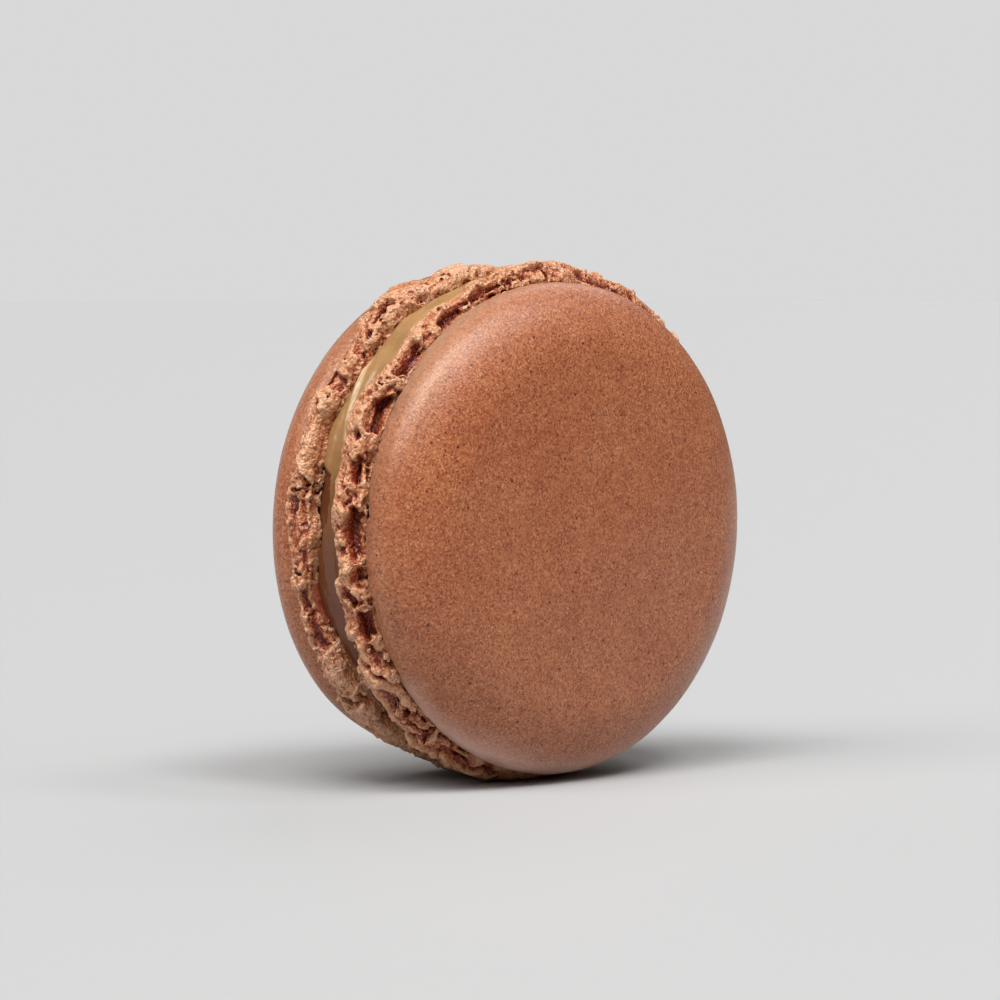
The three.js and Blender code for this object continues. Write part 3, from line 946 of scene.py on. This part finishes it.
def cream_relief(angle, height):
    """Rise of the cream's surface, its painted shade (the recessed strip beside the back shell, and more
    towards the lower left), and its painted highlight along the streak.
    """
    rise = 0.2 * (noise((angle + 10) / 9, (height + 20) / 0.6, 0 * angle + 3) - 0.5)
    rise = rise + 0.1 * (noise((angle + 10) / 3.2, (height + 20) / 0.9, 0 * angle + 9) - 0.5)
    rise = rise + 0.04 * (noise((angle + 10) / 0.9, (height + 20) / 0.4, 0 * angle + 5) - 0.5)
    edge = np.interp(angle, *RECESS_EDGE, left=-9, right=-9)
    edge = edge + 0.16 * (noise(angle / 1.1, 0 * angle, 0 * angle + 2) - 0.5)
    sunk = smooth(edge - height, -0.04, 0.08)
    along = smooth(angle, 44, 50) * (1 - smooth(angle, 68, 74))
    streak = np.exp(-(((height - np.interp(angle, *STREAK_LINE)) / 0.38) ** 2))
    rise = rise + STREAK_RISE * along * streak - RECESS_DEPTH * sunk
    for centre, level, size in BEADS:
        across = np.radians(turn(centre, angle)) * RIM_RADIUS
        rise = rise + 0.8 * size * smooth(1 - np.hypot(across, height - level) / size, 0, 0.7)
    lines = noise((angle + 20) / 4.0, (height + 20) / 0.13, 0 * angle + 7)
    # Painted highlight: paler fine lines along the raised streak
    painted_highlight = STREAK_HIGHLIGHT * smooth(angle, 36, 45) * (1 - smooth(angle, 66, 80)) * smooth(streak, 0.1, 0.9)
    painted_highlight = painted_highlight * smooth(lines, 0.1, 0.7)
    # Painted shade: the recessed strip, and more by angle towards the lower left, where the cream lies in
    # the shadow between the feet
    return rise, np.maximum(sunk, np.interp(angle, *SHADE_SHARES) + 0 * height), painted_highlight


def build_filling():
    """Disc of cream with a satin, slightly streaky rim."""
    counts, points = [], []
    for count, radius in FILLING_ROWS:
        angle = np.arange(count) * 360 / count
        height = face_height(1, angle, radius) + FILLING_REACH
        points.append(np.stack([angle, radius + 0 * angle, height], 1))
        counts.append(count)
    shares = np.linspace(1, -1, FILLING_STEPS)
    insets = np.interp(-shares, [-share for _, share in FILLING_EDGE], [inset for inset, _ in FILLING_EDGE])
    angle = np.arange(FILLING_COLUMNS) * 360 / FILLING_COLUMNS
    outer = filling_line(3, angle)
    front = face_height(1, angle, outer) + FILLING_REACH
    back = -face_height(-1, angle, outer) - FILLING_REACH
    hidden = sum(counts)
    painted_shade, streak_highlights = [np.zeros(hidden)], [np.zeros(hidden)]
    for share, inset in zip(shares, insets):
        height = mix(back, front, (1 + share) / 2)
        raised, sunk, painted_highlight = cream_relief(angle, height)
        points.append(np.stack([angle, outer - inset + raised, height], 1))
        counts.append(FILLING_COLUMNS)
        painted_shade.append(sunk)
        streak_highlights.append(painted_highlight)
    painted_shade.append(np.zeros(hidden))
    streak_highlights.append(np.zeros(hidden))
    for count, radius in reversed(FILLING_ROWS):
        angle = np.arange(count) * 360 / count
        height = -face_height(-1, angle, radius) - FILLING_REACH
        points.append(np.stack([angle, radius + 0 * angle, height], 1))
        counts.append(count)
    firsts = np.concatenate([[0], np.cumsum(counts)[:-1]])
    grid = np.concatenate(points)
    at = placed(1, grid[:, 0], grid[:, 1], grid[:, 2])
    marks = {"painted_shade": np.concatenate(painted_shade), "streak": np.concatenate(streak_highlights)}
    return make_object("cream", at, rows_faces(firsts, counts), marks)


def rows_faces(firsts, counts):
    return grid_rows(list(zip(firsts.tolist(), counts)))


# Materials

def new_material(name):
    material = bpy.data.materials.new(name)
    material.use_nodes = True
    tree = material.node_tree
    tree.nodes.clear()
    shader = tree.nodes.new("ShaderNodeBsdfPrincipled")
    output = tree.nodes.new("ShaderNodeOutputMaterial")
    tree.links.new(shader.outputs[0], output.inputs[0])
    return material, tree, shader


def linear(red, green, blue):
    """Linear colour from display values 0 to 255."""
    def one(value):
        value /= 255
        return value / 12.92 if value <= 0.04045 else ((value + 0.055) / 1.055) ** 2.4
    return one(red), one(green), one(blue), 1


def noise_node(tree, size, detail=2, rough=0.5):
    """Noise with features of about the given size in millimetres, from object coordinates."""
    coordinates = tree.nodes.new("ShaderNodeTexCoord")
    texture = tree.nodes.new("ShaderNodeTexNoise")
    texture.inputs["Scale"].default_value = 1 / (size * MM)
    texture.inputs["Detail"].default_value = detail
    texture.inputs["Roughness"].default_value = rough
    tree.links.new(coordinates.outputs["Object"], texture.inputs["Vector"])
    return texture.outputs["Fac"]


def cell_node(tree, size, output):
    """Cells of about the given size in millimetres: the distance to a cell's point, or its random colour."""
    coordinates = tree.nodes.new("ShaderNodeTexCoord")
    texture = tree.nodes.new("ShaderNodeTexVoronoi")
    texture.inputs["Scale"].default_value = 1 / (size * MM)
    tree.links.new(coordinates.outputs["Object"], texture.inputs["Vector"])
    return texture.outputs[output]


def ramp(tree, value, stops):
    """Colours (place, colour) along a value."""
    node = tree.nodes.new("ShaderNodeValToRGB")
    elements = node.color_ramp.elements
    while len(elements) > 1:
        elements.remove(elements[-1])
    elements[0].position, elements[0].color = stops[0]
    for position, colour in stops[1:]:
        element = elements.new(position)
        element.color = colour
    tree.links.new(value, node.inputs[0])
    return node.outputs[0]


def grey(value):
    return value, value, value, 1


def blend_colours(tree, kind, factor, first, second):
    node = tree.nodes.new("ShaderNodeMix")
    node.data_type = "RGBA"
    node.blend_type = kind
    if isinstance(factor, float):
        node.inputs[0].default_value = factor
    else:
        tree.links.new(factor, node.inputs[0])
    for socket, value in ((node.inputs[6], first), (node.inputs[7], second)):
        if isinstance(value, tuple):
            socket.default_value = value
        else:
            tree.links.new(value, socket)
    return node.outputs[2]


def calculated(tree, operation, first, second=0.0, third=0.0):
    node = tree.nodes.new("ShaderNodeMath")
    node.operation = operation
    for socket, value in zip(node.inputs, (first, second, third)):
        if isinstance(value, (int, float)):
            socket.default_value = value
        else:
            tree.links.new(value, socket)
    return node.outputs[0]


def bumped(tree, shader, height, strength, distance):
    node = tree.nodes.new("ShaderNodeBump")
    node.inputs["Strength"].default_value = strength
    node.inputs["Distance"].default_value = distance * MM
    tree.links.new(height, node.inputs["Height"])
    tree.links.new(node.outputs[0], shader.inputs["Normal"])


def attribute_value(tree, name):
    node = tree.nodes.new("ShaderNodeAttribute")
    node.attribute_name = name
    return node.outputs["Fac"]


SKIN_TONES = [
    (0.06, linear(106, 47, 26)),
    (0.25, linear(141, 75, 45)),
    (0.50, linear(161, 94, 59)),
    (0.75, linear(175, 110, 73)),
    (0.95, linear(193, 133, 94)),
]


def skin_material():
    material, tree, shader = new_material("skin")
    grains = cell_node(tree, 0.155, "Color")
    colour = ramp(tree, grains, SKIN_TONES)
    for size, dark in ((7, 0.88), (2.2, 0.9), (0.6, 0.9)):
        tint = (dark ** 0.5, dark, dark * 0.97, 1)
        patches = ramp(tree, noise_node(tree, size, 2), [(0.35, tint), (0.6, grey(1.0))])
        colour = blend_colours(tree, "MULTIPLY", 1.0, colour, patches)
    # Painted shade of tiny pinholes: dark dots, with no holes in the mesh
    pinhole_shade = ramp(tree, cell_node(tree, 1.6, "Distance"), [(0.06, grey(0.0)), (0.11, grey(1.0))])
    colour = blend_colours(tree, "MIX", pinhole_shade, linear(84, 24, 10), colour)
    # Painted highlight: paler, yellower colour near the lip where the light falls
    colour = blend_colours(tree, "MIX", attribute_value(tree, "painted_highlight"), colour, linear(168, 134, 108))
    # Painted reflection of the floor on the front skin's lower edge
    colour = blend_colours(tree, "MIX", attribute_value(tree, "pale_patches_and_reflection"), colour, linear(212, 180, 168))
    # Painted shade under the lip: its underside and the hidden core are darker red-brown
    under = attribute_value(tree, "under")
    colour = blend_colours(tree, "MIX", under, colour, linear(146, 62, 32))
    tree.links.new(colour, shader.inputs["Base Color"])
    shader.inputs["Roughness"].default_value = 0.38
    shader.inputs["Specular IOR Level"].default_value = 0.54
    shader.inputs["Specular Tint"].default_value = (1.0, 0.92, 0.82, 1)
    shader.inputs["Sheen Weight"].default_value = 0.08
    shader.inputs["Sheen Roughness"].default_value = 0.45
    shader.inputs["Sheen Tint"].default_value = (1.0, 0.86, 0.68, 1)
    bumped(tree, shader, noise_node(tree, 0.2, 1), 0.5, 0.05)
    return material


def foot_material():
    material, tree, shader = new_material("foot")
    # Painted shade: dark red-brown where the foot is enclosed and sunk deep, paler on its open crests;
    # speckle and patches vary it at random
    cavity_shade = calculated(tree, "ADD", attribute_value(tree, "close"), attribute_value(tree, "wide"))
    speckle = noise_node(tree, 0.22, 1, 0.6)
    patches = noise_node(tree, 1.3, 2, 0.5)
    value = calculated(tree, "MULTIPLY_ADD", speckle, 1.1, cavity_shade)
    value = calculated(tree, "MULTIPLY_ADD", patches, 0.3, value)
    sunk = calculated(tree, "MINIMUM", attribute_value(tree, "depth"), 1.4)
    value = calculated(tree, "MULTIPLY_ADD", sunk, 0.45, value)
    colour = ramp(tree, calculated(tree, "MULTIPLY", value, 0.4), [
        (0.56, linear(200, 150, 114)),
        (0.66, linear(190, 128, 89)),
        (0.75, linear(170, 98, 61)),
        (0.85, linear(134, 55, 29)),
        (0.97, linear(98, 28, 12)),
    ])
    # Pale pinkish-grey patches at the lower left of the foot
    colour = blend_colours(tree, "MIX", attribute_value(tree, "pale_patches_and_reflection"), colour, linear(205, 161, 141))
    tree.links.new(colour, shader.inputs["Base Color"])
    shader.inputs["Roughness"].default_value = 0.25
    shader.inputs["Specular IOR Level"].default_value = 0.5
    shader.inputs["Subsurface Weight"].default_value = 0.3
    shader.inputs["Subsurface Radius"].default_value = (1.0, 0.4, 0.2)
    shader.inputs["Subsurface Scale"].default_value = 0.3 * MM
    grit = calculated(tree, "MULTIPLY_ADD", noise_node(tree, 0.5, 1), 2.0, speckle)
    bumped(tree, shader, grit, 1.0, 0.16)
    return material


def cream_material():
    material, tree, shader = new_material("cream")
    tone = noise_node(tree, 2.2, 3)
    colour = ramp(tree, tone, [(0.35, linear(149, 111, 70)), (0.65, linear(163, 125, 82))])
    # Painted shade: brown in the recessed strip and towards the lower left, in the shadow between the feet
    colour = blend_colours(tree, "MIX", attribute_value(tree, "painted_shade"), colour, linear(97, 49, 23))
    # Painted highlight: a pale streak along the raised streak
    colour = blend_colours(tree, "MIX", attribute_value(tree, "streak"), colour, linear(212, 190, 152))
    tree.links.new(colour, shader.inputs["Base Color"])
    shader.inputs["Roughness"].default_value = 0.32
    shader.inputs["Specular IOR Level"].default_value = 0.5
    shader.inputs["Subsurface Weight"].default_value = 0.3
    shader.inputs["Subsurface Radius"].default_value = (1.0, 0.6, 0.3)
    shader.inputs["Subsurface Scale"].default_value = 1.2 * MM
    bumped(tree, shader, noise_node(tree, 0.5, 2), 0.15, 0.1)
    return material


def floor_material():
    material, tree, shader = new_material("floor")
    shader.inputs["Base Color"].default_value = (0.407, 0.407, 0.407, 1)
    shader.inputs["Roughness"].default_value = 0.6
    shader.inputs["Specular IOR Level"].default_value = 0.2
    return material


# Stage

VIEW_TURN = 43.56
VIEW_LIFT = 3.243
VIEW_DISTANCE = 360
VIEW_CENTRE_LIFT = 2.342
FOCAL_SHARE = 3.894
PICTURE_MIDDLE = 0.0144
FLOOR_REACH = 6  # metres to each side
FLOOR_DROP = 0.02
BACKGROUND = 0.69
AMBIENT = 0.01
SOFTLIGHTS = [
    ("key", (-0.42, -0.21, 0.88), 2.3, 28),
    ("front", (-0.05, -0.45, 0.85), 1.6, 20),
    ("left", (-0.7, 0.1, 0.71), 1.4, 34),
    ("front right", (0.35, -0.4, 0.8), 0.5, 14),
    ("low front", (-0.45, -0.6, 0.66), 0.35, 38),
    ("right", (0.22, -0.76, 0.62), 0.15, 38),
    ("far right", (0.66, -0.44, 0.62), 0.2, 38),
    ("behind right", (0.66, 0.3, 0.69), 0.5, 38),
    ("behind", (0.06, 0.98, 0.21), 0.25, 38),
]


def add_camera():
    data = bpy.data.cameras.new("camera")
    camera = bpy.data.objects.new("camera", data)
    bpy.context.scene.collection.objects.link(camera)
    turned, lift = math.radians(VIEW_TURN), math.radians(VIEW_LIFT)
    forward = Vector((math.sin(turned) * math.cos(lift), math.cos(turned) * math.cos(lift), -math.sin(lift)))
    target = Vector((SHIFT[0], SHIFT[1], AXIS_HEIGHT + VIEW_CENTRE_LIFT)) * MM
    camera.location = target - forward * VIEW_DISTANCE * MM
    camera.rotation_mode = "QUATERNION"
    camera.rotation_quaternion = forward.to_track_quat("-Z", "Y")
    data.sensor_width = 36
    data.lens = FOCAL_SHARE * data.sensor_width
    data.shift_x = -PICTURE_MIDDLE
    data.clip_start = 0.01
    data.clip_end = 20
    bpy.context.scene.camera = camera


def add_softlight(name, towards, strength, spread):
    """Soft light from far away: its direction from the macaron, and the width of its softbox in degrees."""
    data = bpy.data.lights.new(name, "SUN")
    data.energy = strength
    data.angle = math.radians(spread)
    light = bpy.data.objects.new(name, data)
    bpy.context.scene.collection.objects.link(light)
    light.rotation_mode = "QUATERNION"
    light.rotation_quaternion = (-Vector(towards).normalized()).to_track_quat("-Z", "Y")


def add_floor():
    mesh = bpy.data.meshes.new("floor")
    corners = [(x * FLOOR_REACH, y * FLOOR_REACH, 0) for x, y in ((-1, -1), (1, -1), (1, 1), (-1, 1))]
    mesh.from_pydata(corners, [], [(0, 1, 2, 3)])
    floor = bpy.data.objects.new("floor", mesh)
    bpy.context.scene.collection.objects.link(floor)
    floor.location.z = -FLOOR_DROP * MM
    mesh.materials.append(floor_material())


def add_lights():
    world = bpy.data.worlds.new("studio")
    bpy.context.scene.world = world
    world.use_nodes = True
    nodes, links = world.node_tree.nodes, world.node_tree.links
    nodes.clear()
    output = nodes.new("ShaderNodeOutputWorld")
    seen, lighting = nodes.new("ShaderNodeBackground"), nodes.new("ShaderNodeBackground")
    seen.inputs[0].default_value = grey(BACKGROUND)
    lighting.inputs[0].default_value = grey(AMBIENT)
    path = nodes.new("ShaderNodeLightPath")
    either = nodes.new("ShaderNodeMixShader")
    links.new(path.outputs["Is Camera Ray"], either.inputs[0])
    links.new(lighting.outputs[0], either.inputs[1])
    links.new(seen.outputs[0], either.inputs[2])
    links.new(either.outputs[0], output.inputs[0])
    for name, towards, strength, spread in SOFTLIGHTS:
        add_softlight(name, towards, strength, spread)


SHIFT = axis_shift()
skin_look, foot_look = skin_material(), foot_material()
for shell in (FRONT, BACK):
    for piece, look in ((build_skin(shell), skin_look), (build_foot(shell), foot_look)):
        piece.data.materials.append(look)
        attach(piece, "root")
        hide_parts(shell["node"])
cream = build_filling()
cream.data.materials.append(cream_material())
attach(cream, "root")
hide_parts("filling")
add_floor()
add_lights()
add_camera()
bpy.context.scene.view_settings.view_transform = "Standard"
